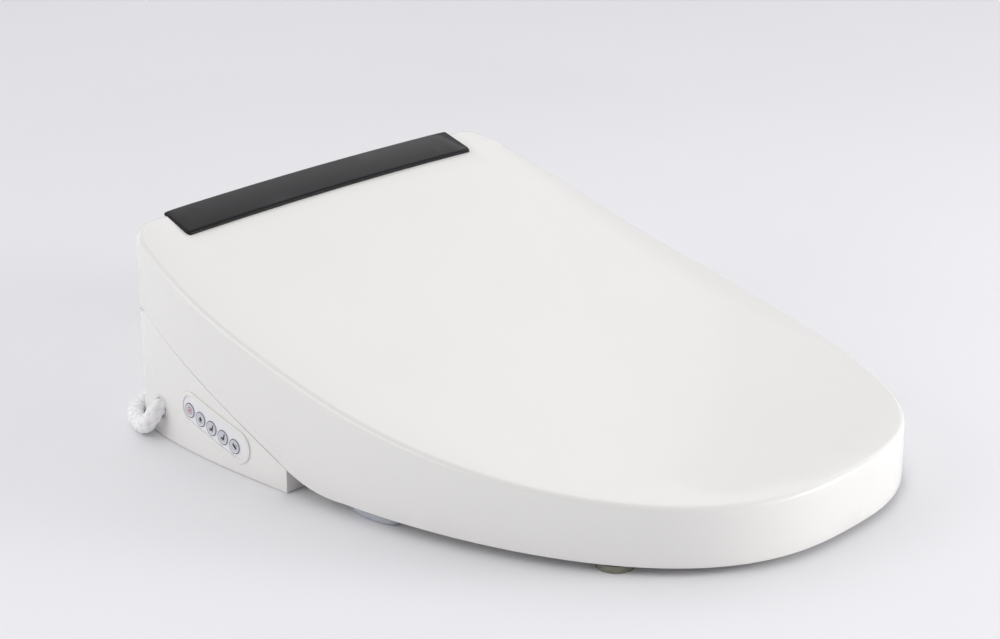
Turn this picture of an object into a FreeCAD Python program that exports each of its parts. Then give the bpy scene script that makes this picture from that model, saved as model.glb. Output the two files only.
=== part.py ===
import FreeCAD, Part
import os
from math import acos, atan2, cos, hypot, pi, radians, sin, tan

# Electric bidet seat, in millimetres. Z = 0 is the rim of the bowl that the seat stands on.
# The origin is halfway between the two bowl bolts, the sitter faces -Y and X = 0 is the
# plane of symmetry. Each sub-part is written to parts/NAME.step.

V = FreeCAD.Vector
X_AXIS, Y_AXIS, Z_AXIS = V(1, 0, 0), V(0, 1, 0), V(0, 0, 1)

# ---- overall plan outline ----
HALF_WIDTH = 215.0
WIDEST_Y = -156.0
NOSE_LENGTH = 314.0  # from the widest station forward to the front tip
NOSE_POWER_X, NOSE_POWER_Y = 2.633, 1.918
SIDE_END_Y = 47.6  # where the side runs into the rear corner
REAR_Y = 68.6
CORNER_X, CORNER_Y, CORNER_R = 172.4, 40.4, 28.2
FRONT_Y = WIDEST_Y - NOSE_LENGTH
LENGTH = REAR_Y - FRONT_Y

# ---- top of the lid ----
RIM_REAR_Z, RIM_SLOPE, RIM_CURVE = 159.4, 0.4264, 0.000417
CROWN = 4.5
TOP_FILLET = 5.0
LID_WALL = 2.6

# ---- smoked strip along the lid's rear edge ----
STRIP_X, STRIP_Y = 159.3, 37.5
STRIP_DEPTH, STRIP_REVEAL = 1.3, 0.3
STRIP_LIFT, STRIP_TILT = 0.3, 0.085  # flush at the rear, standing proud towards the front
STRIP_BEVEL, STRIP_CORNER_R = 1.2, 2.5

# ---- parting line between lid and base, seen from the side ----
BASE_FRONT_Y = -125.5
PART_Z, PART_SLOPE = 19.5, 0.448
SKIRT_FRONT_Z, SKIRT_REAR_Z, SKIRT_BEND_Y = 5.6, 9.7, -147.8
PART_GAP = 1.0

# ---- hinge ----
HINGE_Y, HINGE_Z = 46.6, 120.7
HINGE_REACH = REAR_Y - HINGE_Y
BARREL_R = 18.6
PIN_R, RUNNING = 5.0, 0.05
HUMP_X = 161.0
SEAT_LUG = (162.0, 178.0)
LID_LUG = (179.0, 195.0)

# ---- base ----
WALL = 2.6
FOOT_Z = 0.6  # the case stands this far clear of the rim, on its rubber feet
PAN_TOP = 3.4
HUMP_FRONT_Y = -46.0
HUMP_SLOPE = 23.5
BASE_MID_Y = -78.0  # the front wall bows back to here at the middle
BASE_BOW_X = 190.0

# ---- seat ----
SEAT_INSET = 5.5
SEAT_WALL = 2.5
SEAT_BOTTOM = 10.0
SEAT_ROUND = 9.0
OPENING_Y, OPENING_HALF = -240.0, 105.0
OPENING_FRONT, OPENING_REAR = 156.0, 134.0
WING_X, WING_END_Y, WING_TIP_X = 165.0, 22.0, 196.0

# ---- mounting plate ----
PLATE_X, PLATE_Y0, PLATE_Y1, PLATE_TOP = 95.0, -32.0, 48.0, 4.0
TRAY_X, TRAY_Y, TRAY_ROOF = 98.0, -35.0, 5.0
BOLT_SPACING, SLOT_LENGTH, SLOT_R = 145.0, 26.0, 4.5

# ---- control panel on the sitter's right ----
PANEL_Y, PANEL_Z, PANEL_TILT = -45.5, 29.5, 14.2
PANEL_LENGTH, PANEL_HEIGHT = 84.0, 27.0
BUTTON_R, BUTTON_PITCH, BUTTON_COUNT = 5.93, 13.7, 5
BUTTON_Y, BUTTON_Z, BUTTON_TRAVEL = -43.0, 28.1, 0.8

# ---- nozzles ----
NOZZLE_TILT = 12.0
NOZZLE_EXIT = V(0, -80, 24)
NOZZLE_X, NOZZLE_R = 9.0, 6.0
NOZZLE_TIP, NOZZLE_END = 3.0, 120.0
RACK_START, RACK_BASE_X, PITCH_X = 36.0, 14.2, 18.5
TOOTH_MODULE, PINION_TEETH, BACKLASH = 1.0, 12, 0.25
PINION_R = TOOTH_MODULE * PINION_TEETH / 2
PINION_U = 42.0

# ---- water tank ----
TANK_X0, TANK_X1, TANK_Y0, TANK_Y1 = -150.0, -40.0, -38.0, 34.0
TANK_Z0, TANK_Z1, TANK_WALL = 9.5, 86.0, 2.5

# ---- warm-air dryer ----
FAN_X0, FAN_X1, FAN_Y, FAN_Z, FAN_R = 57.0, 85.0, 0.0, 52.0, 31.0
FLAP_Y, FLAP_Z = -77.6, 31.0

# ---- water inlet and hose ----
INLET_Y, INLET_Z = 26.0, 24.0
HOSE_R = 6.75
FITTING_X = -199.0
COIL_X, COIL_Y, COIL_R = 95.0, 172.0, 70.0
COIL_TURNS, COIL_LEAD = 1.5, 70.0
NUT_R, UNION_R = 13.0, 9.5  # the union nut and its socket


def box(x0, x1, y0, y1, z0, z1):
    return Part.makeBox(x1 - x0, y1 - y0, z1 - z0, V(x0, y0, z0))


def cylinder(start, axis, radius, length):
    return Part.makeCylinder(radius, length, start, axis)


def tube(start, axis, outer, inner, length):
    return cylinder(start, axis, outer, length).cut(cylinder(start, axis, inner, length))


def fuse(shapes):
    whole = shapes[0]
    for piece in shapes[1:]:
        whole = whole.fuse(piece)
    return whole.removeSplitter()


def mirror_x(shape):
    return shape.mirror(V(0, 0, 0), X_AXIS)


def both_sides(shape):
    return Part.makeCompound([shape, mirror_x(shape)])


def save(name, shape):
    """Write one sub-part, as its solids, to parts/NAME.step."""
    solids = shape.Solids
    whole = solids[0] if len(solids) == 1 else Part.makeCompound(solids)
    good = all(s.isValid() for s in solids)
    whole.exportStep(f"parts/{name}.step")
    print(f"{name}: {len(solids)} solid, {whole.Volume / 1000:.1f} cm3, valid {good}")


def prism_x(points, x0, x1):
    """A straight-sided profile in the Y-Z plane, run across from x0 to x1."""
    corners = [V(x0, y, z) for y, z in points]
    face = Part.Face(Part.makePolygon(corners + corners[:1]))
    return face.extrude(V(x1 - x0, 0, 0))


def profile_x(edges, x0, x1):
    """The same for a profile with curved edges, which are given at X = 0."""
    face = Part.Face(Part.Wire(edges))
    face.translate(V(x0, 0, 0))
    return face.extrude(V(x1 - x0, 0, 0))


def line(a, b):
    return Part.LineSegment(a, b).toShape()


def arc(a, through, b):
    return Part.Arc(a, through, b).toShape()


def spline(points):
    curve = Part.BSplineCurve()
    curve.interpolate(points)
    return curve.toShape()


# ---- shapes that several sub-parts share ----


def half_outline(t):
    """Outline at parameter t: below 0 along the side, 0 at the widest station, 1 at the front tip."""
    if t < 0:
        y = WIDEST_Y - t * (SIDE_END_Y - WIDEST_Y)
        s = (y - WIDEST_Y) / 100
        return HALF_WIDTH + 1.937 * s**2 - 2.759 * s**3, y
    angle = t * pi / 2
    x = HALF_WIDTH * max(cos(angle), 0) ** (2 / NOSE_POWER_X)
    return x, WIDEST_Y - NOSE_LENGTH * sin(angle) ** (2 / NOSE_POWER_Y)


def inset_point(t, inset):
    """The outline at t, moved inwards square to itself."""
    x, y = half_outline(t)
    if t > 0.999:
        return 0.0, y + inset
    before, after = half_outline(t - 0.0005), half_outline(t + 0.0005)
    dx, dy = after[0] - before[0], after[1] - before[1]
    run = hypot(dx, dy)
    return x + inset * dy / run, y - inset * dx / run


def upright_edges(shape):
    boxes = [(e, e.BoundBox) for e in shape.Edges]
    return [e for e, b in boxes if b.ZLength > 1 and b.XLength < 0.01 and b.YLength < 0.01]


def outline_prism(inset, z0=-20.0, z1=260.0):
    """Everything inside the plan outline, moved inwards by inset."""
    steps = [-1, -0.75, -0.5, -0.25, 0, 0.1, 0.2, 0.3, 0.4, 0.5, 0.6, 0.7, 0.8, 0.9]
    right = [inset_point(t, inset) for t in steps]
    nose = [inset_point(1, inset)]
    left = [(-x, y) for x, y in reversed(right)]
    around = [V(x, y, z0) for x, y in right + nose + left]
    radius = CORNER_R - inset
    start = atan2(right[0][1] - CORNER_Y, right[0][0] - CORNER_X)
    middle = (start + pi / 2) / 2
    corner = V(CORNER_X + radius * cos(middle), CORNER_Y + radius * sin(middle), z0)
    rear = V(CORNER_X, CORNER_Y + radius, z0)
    wire = Part.Wire([
        spline(around),
        arc(around[-1], V(-corner.x, corner.y, z0), V(-rear.x, rear.y, z0)),
        line(V(-rear.x, rear.y, z0), rear),
        arc(rear, corner, around[0]),
    ])
    return Part.Face(wire).extrude(V(0, 0, z1 - z0))


def lid_top_z(x, y):
    back = REAR_Y - y
    rim = RIM_REAR_Z - RIM_SLOPE * back + RIM_CURVE * back**2
    return rim + CROWN * (1 - (back / LENGTH) ** 2) * (1 - (x / HALF_WIDTH) ** 2)


def below_lid_top(drop, tilt=0.0):
    """Everything under the lid's crowned top, lowered by drop and tilted up towards the front."""
    columns, rows = 9, 13
    grid = []
    for i in range(columns):
        x = -230 + 460 * i / (columns - 1)
        ys = [FRONT_Y - 15 + (LENGTH + 30) * j / (rows - 1) for j in range(rows)]
        grid.append([V(x, y, lid_top_z(x, y) - drop + tilt * (REAR_Y - y)) for y in ys])
    surface = Part.BSplineSurface()
    surface.interpolate(grid)
    return surface.toShape().extrude(V(0, 0, -300))


def part_z(y):
    return PART_Z + PART_SLOPE * (y - BASE_FRONT_Y)


def hinge_point(radius, angle):
    """A point in the plane X = 0 around the hinge axis; angle 0 points to the rear."""
    a = radians(angle)
    return V(0, HINGE_Y + radius * cos(a), HINGE_Z + radius * sin(a))


def hinge_cylinder(x0, x1, radius):
    return cylinder(V(x0, HINGE_Y, HINGE_Z), X_AXIS, radius, x1 - x0)


def below_parting():
    """What lies below the lid's lower edge, across the whole width."""
    low_front = V(0, FRONT_Y - 40, SKIRT_FRONT_Z - 0.4)
    bend_start = V(0, SKIRT_BEND_Y - 35, SKIRT_REAR_Z - 0.45)
    bend = V(0, SKIRT_BEND_Y, SKIRT_REAR_Z + 1.9)
    bend_end = V(0, SKIRT_BEND_Y + 32, part_z(SKIRT_BEND_Y + 32))
    ear = hinge_point(HINGE_REACH, -66)
    ear_start = V(0, ear.y, part_z(ear.y))
    rear = hinge_point(HINGE_REACH, 0)
    far = V(0, REAR_Y + 40, rear.z)
    return profile_x([
        line(low_front, bend_start),
        arc(bend_start, bend, bend_end),
        line(bend_end, ear_start),
        arc(ear_start, hinge_point(HINGE_REACH, -30), rear),
        line(rear, far),
        line(far, V(0, REAR_Y + 40, -60)),
        line(V(0, REAR_Y + 40, -60), V(0, FRONT_Y - 40, -60)),
        line(V(0, FRONT_Y - 40, -60), low_front),
    ], -240, 240)


def hump_top_z(y, drop=0.0):
    a = radians(HUMP_SLOPE)
    return HINGE_Z + (BARREL_R - drop) / cos(a) + tan(a) * (y - HINGE_Y)


def hump_profile(drop):
    """The housing in the middle of the base: a sloping roof that runs into the hinge barrel."""
    front = HUMP_FRONT_Y + drop
    radius = BARREL_R - drop
    roof_end = hinge_point(radius, 90 + HUMP_SLOPE)
    back_low = hinge_point(radius, -105)
    nose = 9.0
    front_top = V(0, front, hump_top_z(front, drop) - nose)
    roof_start = V(0, front + nose, hump_top_z(front + nose, drop))
    between = V(0, front + 0.25 * nose, hump_top_z(front, drop) - 1.2)
    floor = 20.0
    return [
        line(V(0, front, floor), front_top),
        arc(front_top, between, roof_start),
        line(roof_start, roof_end),
        arc(roof_end, hinge_point(radius, 0), back_low),
        line(back_low, V(0, back_low.y, floor)),
        line(V(0, back_low.y, floor), V(0, front, floor)),
    ]


def front_bow(inset):
    """What lies in front of the base: a wide arc between two straight ends."""
    y_end, y_mid = BASE_FRONT_Y + inset, BASE_MID_Y + inset
    bow = BASE_BOW_X - inset
    wire = Part.Wire([
        line(V(-260, y_end, -30), V(-bow, y_end, -30)),
        arc(V(-bow, y_end, -30), V(0, y_mid, -30), V(bow, y_end, -30)),
        line(V(bow, y_end, -30), V(260, y_end, -30)),
        line(V(260, y_end, -30), V(260, -520, -30)),
        line(V(260, -520, -30), V(-260, -520, -30)),
        line(V(-260, -520, -30), V(-260, y_end, -30)),
    ])
    return Part.Face(wire).extrude(V(0, 0, 300))


def base_solid(inset):
    """The base's outer shape, moved inwards by inset."""
    deck = prism_x([
        (BASE_FRONT_Y - 30, -20),
        (BASE_FRONT_Y - 30, part_z(BASE_FRONT_Y - 30) - PART_GAP - inset),
        (HINGE_Y - 1, 96.0 - inset),
        (REAR_Y + 5, 91.5 - inset),
        (REAR_Y + 5, -20),
    ], -240, 240)
    hump = profile_x(hump_profile(inset), -HUMP_X + inset, HUMP_X - inset)
    inside = outline_prism(inset, FOOT_Z - inset, 200)
    return fuse([deck.common(inside), hump]).cut(front_bow(inset))


def panel_prism(length, height, x0=-230.0, x1=-190.0):
    """A long rounded-end shape on the left wall, run straight in along X."""
    half, radius = (length - height) / 2, height / 2
    middle = box(x0, x1, -half, half, -radius, radius)
    ends = [cylinder(V(x0, s * half, 0), X_AXIS, radius, x1 - x0) for s in (-1, 1)]
    shape = fuse([middle] + ends)
    shape.rotate(V(0, 0, 0), X_AXIS, PANEL_TILT)
    shape.translate(V(0, PANEL_Y, PANEL_Z))
    return shape


def wall_band(outer, inner):
    """The layer between two offsets of the outline, at the left wall by the control panel."""
    reach = box(-240, -180, -110, 20, FOOT_Z, 80)
    return outline_prism(outer, -20, 90).cut(outline_prism(inner, -20, 90)).common(reach)


def button_centres():
    a = radians(PANEL_TILT)
    for i in range(BUTTON_COUNT):
        along = (2 - i) * BUTTON_PITCH
        yield BUTTON_Y + along * cos(a), BUTTON_Z + along * sin(a)


# ---- nozzle frame: x across, u back from the exit along the nozzle, n upwards from it ----


def nozzle_place(shape):
    """Move a shape drawn at the origin with u along +Y and n along +Z to the nozzles."""
    shape.rotate(V(0, 0, 0), X_AXIS, NOZZLE_TILT)
    shape.translate(NOZZLE_EXIT)
    return shape


def gear_teeth_face(backlash):
    """The pinion's outline: involute flanks on a root circle, drawn around the origin."""
    base_r = PINION_R * cos(radians(20))
    tip_r, root_r = PINION_R + TOOTH_MODULE, PINION_R - 1.25 * TOOTH_MODULE
    half = pi / (2 * PINION_TEETH) - backlash / (4 * PINION_R)
    at_pitch = tan(acos(base_r / PINION_R)) - acos(base_r / PINION_R)
    points = []
    for k in range(PINION_TEETH):
        middle = 2 * pi * k / PINION_TEETH
        flank = []
        for i in range(6):
            r = base_r + (tip_r - base_r) * i / 5
            involute = tan(acos(base_r / r)) - acos(base_r / r)
            flank.append((r, half + at_pitch - involute))
        root = [(root_r, half + at_pitch)]
        left = [(r, middle - a) for r, a in root + flank]
        right = [(r, middle + a) for r, a in reversed(root + flank)]
        points += left + right
    corners = [V(r * cos(a), r * sin(a), 0) for r, a in points]
    return Part.Face(Part.makePolygon(corners + corners[:1]))


def rack(side):
    """A toothed strip on the outer side of a nozzle, with a tooth space at the pinion."""
    height, depth = 1.8, 1.25 * TOOTH_MODULE
    root_x = PITCH_X - depth
    pitch = pi * TOOTH_MODULE
    strip = box(RACK_BASE_X, root_x, RACK_START, NOZZLE_END, -height, height)
    teeth = []
    slope = tan(radians(20))
    low = (pitch / 2 - BACKLASH / 2) / 2 + depth * slope
    high = low - (depth + TOOTH_MODULE) * slope
    first = -int((PINION_U - RACK_START) / pitch - 0.6)
    last = int((NOZZLE_END - PINION_U) / pitch - 0.6)
    for k in range(first, last + 1):
        u = PINION_U + (k + 0.5) * pitch
        if u - low < RACK_START or u + low > NOZZLE_END:
            continue
        tip_x = PITCH_X + TOOTH_MODULE
        corners = [
            V(root_x - 0.2, u - low, -height), V(root_x, u - low, -height),
            V(tip_x, u - high, -height), V(tip_x, u + high, -height),
            V(root_x, u + low, -height), V(root_x - 0.2, u + low, -height),
        ]
        face = Part.Face(Part.makePolygon(corners + corners[:1]))
        teeth.append(face.extrude(V(0, 0, 2 * height)))
    whole = fuse([strip] + teeth)
    return whole if side > 0 else mirror_x(whole)


# ---- lid ----


def make_lid():
    outer = outline_prism(0).common(below_lid_top(0))
    top = max(outer.Faces, key=lambda f: f.BoundBox.XLength * f.BoundBox.YLength
              if f.BoundBox.ZMin > 30 else 0)
    outer = outer.makeFillet(TOP_FILLET, top.OuterWire.Edges)
    inner = outline_prism(LID_WALL).common(below_lid_top(LID_WALL + 0.2))
    shell = outer.cut(inner).cut(below_parting())
    shell = shell.cut(box(-190, 190, 60, 80, 60, HINGE_Z + 0.3))

    # the smoked strip lies in a shallow pocket along the rear edge
    pocket = box(-STRIP_X, STRIP_X, STRIP_Y, REAR_Y + 5, 120, 200)
    pocket = pocket.makeFillet(STRIP_CORNER_R + STRIP_REVEAL, upright_edges(pocket))
    pocket = pocket.cut(below_lid_top(STRIP_DEPTH))
    pocket = pocket.common(box(-240, 240, 0, REAR_Y - 0.01, 100, 200))
    shell = shell.cut(pocket)
    save("lid_shell", shell)
    end_x, front_y = STRIP_X - STRIP_REVEAL, STRIP_Y + STRIP_REVEAL
    strip = box(-end_x, end_x, front_y, REAR_Y - 2 * STRIP_REVEAL, 120, 200)
    strip = strip.cut(below_lid_top(STRIP_DEPTH)).common(below_lid_top(-STRIP_LIFT, STRIP_TILT))
    strip = strip.makeFillet(STRIP_CORNER_R, upright_edges(strip))
    top = max(strip.Faces, key=lambda f: f.CenterOfMass.z if f.Area > 5000 else 0)
    strip = strip.makeChamfer(STRIP_BEVEL, top.OuterWire.Edges)
    save("sensor_window", strip)

    # hinge brackets: a ring on the axis with a web up to the lid's inner face
    x0, x1 = LID_LUG
    web = prism_x([(HINGE_Y - 14, 126), (HINGE_Y + 14, 122), (HINGE_Y + 14, 175), (8, 175)], x0, x1)
    lug = fuse([hinge_cylinder(x0, x1, BARREL_R), web])
    inside = outline_prism(LID_WALL).common(below_lid_top(LID_WALL + 0.2))
    lug = lug.common(inside)
    right = lug.cut(hinge_cylinder(x0 - 1, x1 + 1, PIN_R))
    left = mirror_x(lug).cut(hinge_cylinder(-x1 - 1, -x0 + 1, PIN_R + RUNNING))
    save("lid_hinge_bracket_right", right)
    save("lid_hinge_bracket_left", left)


def seat_top_z(y):
    """Height of the seat's upper face along the side, as straight stretches."""
    stops = [(FRONT_Y, 37.0), (-380, 41.0), (-260, 45.0), (-170, 51.0), (-100, 62.0),
             (-30, 82.0), (HINGE_Y - 12, 134.0)]
    for (y0, z0), (y1, z1) in zip(stops, stops[1:]):
        if y <= y1:
            return z0 + (z1 - z0) * (y - y0) / (y1 - y0)
    return stops[-1][1]


def make_lid_bumpers():
    pads = []
    for x, y in ((95, -395), (165, -300)):
        gap_low = seat_top_z(y) + 0.6
        pad = cylinder(V(x, y, gap_low), Z_AXIS, 7, 60).common(below_lid_top(LID_WALL + 0.2))
        pads.append(both_sides(pad))
    save("lid_bumpers", Part.makeCompound(pads))


# ---- seat ----


def opening_prism(grow):
    """The oval opening of the seat, made larger by grow."""
    points = []
    for i in range(24):
        a = 2 * pi * i / 24
        x = (OPENING_HALF + grow) * abs(cos(a)) ** 0.92 * (1 if cos(a) > 0 else -1)
        reach = OPENING_REAR if sin(a) > 0 else OPENING_FRONT
        y = OPENING_Y + (reach + grow) * abs(sin(a)) ** 0.92 * (1 if sin(a) > 0 else -1)
        points.append(V(x, y, -20))
    curve = Part.BSplineCurve()
    curve.interpolate(points, PeriodicFlag=True)
    return Part.Face(Part.Wire(curve.toShape())).extrude(V(0, 0, 200))


def seat_solid(inset, top_drop, bottom_rise, grow):
    """The seat's ring and its two rear wings, moved inwards on every side."""
    top = [V(0, y, seat_top_z(y) - top_drop) for y in (FRONT_Y, -380, -260, -170, -100, -30)]
    wing_end = WING_END_Y - inset + SEAT_INSET
    end = V(0, wing_end, seat_top_z(wing_end) - top_drop)
    low = SEAT_BOTTOM + bottom_rise
    deck_y = -140.0
    deck_end = V(0, wing_end, part_z(wing_end) + 2 + bottom_rise)
    start = V(0, deck_y, part_z(deck_y) + 2 + bottom_rise)
    profile = profile_x([
        spline(top),
        line(top[-1], end),
        line(end, deck_end),
        line(deck_end, start),
        line(start, V(0, deck_y - 12, low)),
        line(V(0, deck_y - 12, low), V(0, FRONT_Y, low)),
        line(V(0, FRONT_Y, low), top[0]),
    ], -240, 240)
    wing = WING_X + inset - SEAT_INSET
    hump_front = HUMP_FRONT_Y - 6 - inset + SEAT_INSET
    gap = box(-wing, wing, hump_front, 100, -10, 200)
    whole = outline_prism(inset).common(profile).cut(gap).cut(opening_prism(grow))
    for side in (-1, 1):
        x = side * (WING_TIP_X + 30 - inset + SEAT_INSET)
        whole = whole.cut(box(x - 30, x + 30, 4 - inset + SEAT_INSET, 100, 0, 200))
    return whole


def rounded(solid, radius):
    """Round the seat's upper edges, around its opening and along its outline."""
    for outside in (False, True):
        top = max((f for f in solid.Faces if f.BoundBox.ZMin > 20), key=lambda f: f.Area)
        if outside:
            edges = [e for e in top.OuterWire.Edges if e.BoundBox.YMin < -300]
        else:
            edges = [e for w in top.Wires if not w.isSame(top.OuterWire) for e in w.Edges]
        solid = solid.makeFillet(radius, edges)
    return solid


def make_seat():
    outer = rounded(seat_solid(SEAT_INSET, 0, 0, 0), SEAT_ROUND)
    inner = seat_solid(SEAT_INSET + SEAT_WALL, SEAT_WALL, -30, SEAT_WALL)
    inner = rounded(inner, SEAT_ROUND - SEAT_WALL)
    inner = inner.cut(box(-240, 240, 8, 100, -10, 200))
    shell = outer.cut(inner)
    x0, x1 = SEAT_LUG
    lug_start = WING_END_Y - 6
    arm = prism_x([
        (lug_start, part_z(lug_start) + 2), (lug_start, seat_top_z(lug_start)),
        (HINGE_Y - 13.5, HINGE_Z + 12.6), (HINGE_Y, HINGE_Z), (HINGE_Y - 6, HINGE_Z - 17.5),
    ], x0, x1)
    lug = fuse([hinge_cylinder(x0, x1, BARREL_R), arm])
    foot = box(x0, x1 + 22, 10, WING_END_Y, part_z(10) + 8, seat_top_z(10) - 1)
    arm_side = fuse([lug, foot.common(box(x0, x1 + 22, 10, WING_END_Y, 88, 108))])
    upper = fuse([shell, arm_side, mirror_x(arm_side)])
    upper = upper.cut(hinge_cylinder(-x1 - 1, -x0 + 1, PIN_R))
    upper = upper.cut(hinge_cylinder(x0 - 1, x1 + 1, PIN_R + RUNNING))
    save("seat_upper_shell", upper)

    lower = seat_solid(SEAT_INSET + SEAT_WALL, -60, 0, SEAT_WALL)
    lower = lower.cut(seat_solid(SEAT_INSET - 10, -80, 2.2, -40))
    lower = lower.cut(box(-240, 240, 8, 100, -10, 200))
    save("seat_lower_shell", lower)
    foil = seat_solid(SEAT_INSET + 12, SEAT_WALL, 4, 12)
    foil = foil.cut(seat_solid(SEAT_INSET, SEAT_WALL + 0.6, -40, 0))
    foil = foil.cut(box(-240, 240, -60, 120, -10, 200))
    save("seat_heater_foil", foil)


def make_seat_bumpers():
    front = fuse([cylinder(V(-146, -378, 0), Z_AXIS, 14, 5.2),
                  cylinder(V(-146, -378, 0), Z_AXIS, 10, SEAT_BOTTOM)])
    front = front.cut(cylinder(V(-146, -378, -1), Z_AXIS, 4, 4))
    middle = fuse([
        box(-206, -193, -217, -187, 0, SEAT_BOTTOM),
        cylinder(V(-199.5, -217, 0), Z_AXIS, 6.5, SEAT_BOTTOM),
        cylinder(V(-199.5, -187, 0), Z_AXIS, 6.5, SEAT_BOTTOM),
    ])
    save("seat_front_bumpers", both_sides(front))
    save("seat_side_bumpers", both_sides(middle))


# ---- hinge dampers ----


def make_dampers():
    x0, x1 = 118.0, HUMP_X - WALL
    body = hinge_cylinder(x0, x1, 12)
    ears = box(x0 + 8, x0 + 12, HINGE_Y - 15.5, HINGE_Y + 10, HINGE_Z - 3, HINGE_Z + 3)
    body = fuse([body, ears]).cut(hinge_cylinder(x0 + 6, x1 + 1, PIN_R + RUNNING))
    save("lid_damper", body)
    save("seat_damper", mirror_x(body))
    right = hinge_cylinder(x0 + 7, LID_LUG[1], PIN_R)
    left = hinge_cylinder(-LID_LUG[1], -x0 - 7, PIN_R)
    save("lid_damper_shaft", right)
    save("seat_damper_shaft", left)


# ---- base ----


def nozzle_window():
    window = box(-23, 23, -12, 12, -9, 8)
    return nozzle_place(window)


def make_base():
    case = base_solid(0).cut(base_solid(WALL))
    case = case.cut(box(-240, 240, -200, 100, -30, FOOT_Z))
    case = case.cut(panel_prism(PANEL_LENGTH - 4, PANEL_HEIGHT - 4, -230, -200))
    case = case.cut(cylinder(V(-230, INLET_Y, INLET_Z), X_AXIS, 9.5, 40))
    case = case.cut(cylinder(V(140, 60, 30), Y_AXIS, 8, 20))
    case = case.cut(nozzle_window())
    case = case.cut(box(57, 85, -95, -75, 7, 34))
    case = case.cut(box(-TRAY_X, TRAY_X, 60, 80, -5, TRAY_ROOF))
    for side in (-1, 1):
        start = side * (HUMP_X - WALL - 1) if side > 0 else -HUMP_X - 1
        case = case.cut(hinge_cylinder(start, start + WALL + 2, PIN_R + 0.8))
    save("base_upper_case", case)

    gap = 0.2
    pan = base_solid(WALL + gap).common(box(-240, 240, -200, 100, FOOT_Z, PAN_TOP))
    tray = box(-TRAY_X - WALL, TRAY_X + WALL, TRAY_Y - WALL, REAR_Y, FOOT_Z, TRAY_ROOF + WALL)
    tray = tray.common(outline_prism(WALL + gap))
    hollow = box(-TRAY_X, TRAY_X, TRAY_Y, 100, -5, TRAY_ROOF)
    pan = fuse([pan, tray]).cut(hollow)
    for x, y in foot_places():
        pan = pan.cut(cylinder(V(x, y, -1), Z_AXIS, 9, 2.6))
    for x, y in screw_places():
        pan = pan.cut(cylinder(V(x, y, -1), Z_AXIS, 1.6, 6))
        pan = pan.cut(cylinder(V(x, y, -1), Z_AXIS, 3.4, 2.8))
    pan = pan.cut(cylinder(V(-125, 0, -1), Z_AXIS, 6.5, 6))
    save("base_lower_case", pan)


def foot_places():
    return [(x, y) for x in (-180, 180) for y in (-105, 40)]


def screw_places():
    return [(x, y) for x in (-195, -115, 115, 195) for y in (-88, 10)]


def make_feet():
    feet = [cylinder(V(x, y, 0), Z_AXIS, 9, 1.6) for x, y in foot_places()]
    save("rubber_feet", Part.makeCompound(feet))
    screws = []
    for x, y in screw_places():
        head = cylinder(V(x, y, 0.9), Z_AXIS, 3.1, 0.9)
        shank = cylinder(V(x, y, 1.7), Z_AXIS, 1.5, 6.0)
        cross = fuse([box(x - 1.8, x + 1.8, y - 0.3, y + 0.3, 0.8, 1.4),
                      box(x - 0.3, x + 0.3, y - 1.8, y + 1.8, 0.8, 1.4)])
        screws.append(fuse([head, shank]).cut(cross))
    save("case_screws", Part.makeCompound(screws))


def make_mounting_plate():
    plate = box(-PLATE_X, PLATE_X, PLATE_Y0, PLATE_Y1, 0, PLATE_TOP)
    corners = [e for e in plate.Edges if e.BoundBox.ZLength > 3]
    plate = plate.makeFillet(6, corners)
    for side in (-1, 1):
        x = side * BOLT_SPACING / 2
        half = SLOT_LENGTH / 2 - SLOT_R
        slot = fuse([
            box(x - half, x + half, -SLOT_R, SLOT_R, -1, 9),
            cylinder(V(x - half, 0, -1), Z_AXIS, SLOT_R, 10),
            cylinder(V(x + half, 0, -1), Z_AXIS, SLOT_R, 10),
        ])
        plate = plate.cut(slot)
        well = box(x - 18, x + 18, -10, 10, PLATE_TOP - 1.2, 9)
        plate = plate.cut(well)
    plate = plate.cut(box(-30, 30, -22, 38, 2.2, 9))
    save("mounting_plate", plate)


# ---- control panel ----


def make_controls():
    keep = wall_band(-1.0, 0.0).common(panel_prism(PANEL_LENGTH, PANEL_HEIGHT))
    body = wall_band(0.0, WALL).common(panel_prism(PANEL_LENGTH - 4.2, PANEL_HEIGHT - 4.2))
    recess = wall_band(-2.0, 0.8).common(panel_prism(PANEL_LENGTH - 7, PANEL_HEIGHT - 7))
    bezel = fuse([keep, body]).cut(recess)
    overlay = wall_band(-0.2, 0.8).common(panel_prism(PANEL_LENGTH - 7.2, PANEL_HEIGHT - 7.2))
    cap_band = outline_prism(-0.9, -20, 90)
    names = ["stop", "rear_wash", "front_wash", "dry", "power_save"]
    for (y, z), name in zip(button_centres(), names):
        hole = cylinder(V(-230, y, z), X_AXIS, BUTTON_R + 0.07, 40)
        bezel = bezel.cut(hole)
        overlay = overlay.cut(hole)
        cap = cylinder(V(-225, y, z), X_AXIS, BUTTON_R, 225 - 206.8).common(cap_band)
        save(f"button_{name}", cap)
    save("control_bezel", bezel)
    save("control_overlay", overlay)

    board = box(-203.6, -202.0, -38, 38, -10, 10)
    board.rotate(V(0, 0, 0), X_AXIS, PANEL_TILT)
    board.translate(V(0, BUTTON_Y, BUTTON_Z))
    switches = [cylinder(V(-205.9, y, z), X_AXIS, 2.2, 2.4) for y, z in button_centres()]
    save("control_board", fuse([board] + switches))


# ---- nozzles and their drive ----


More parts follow.
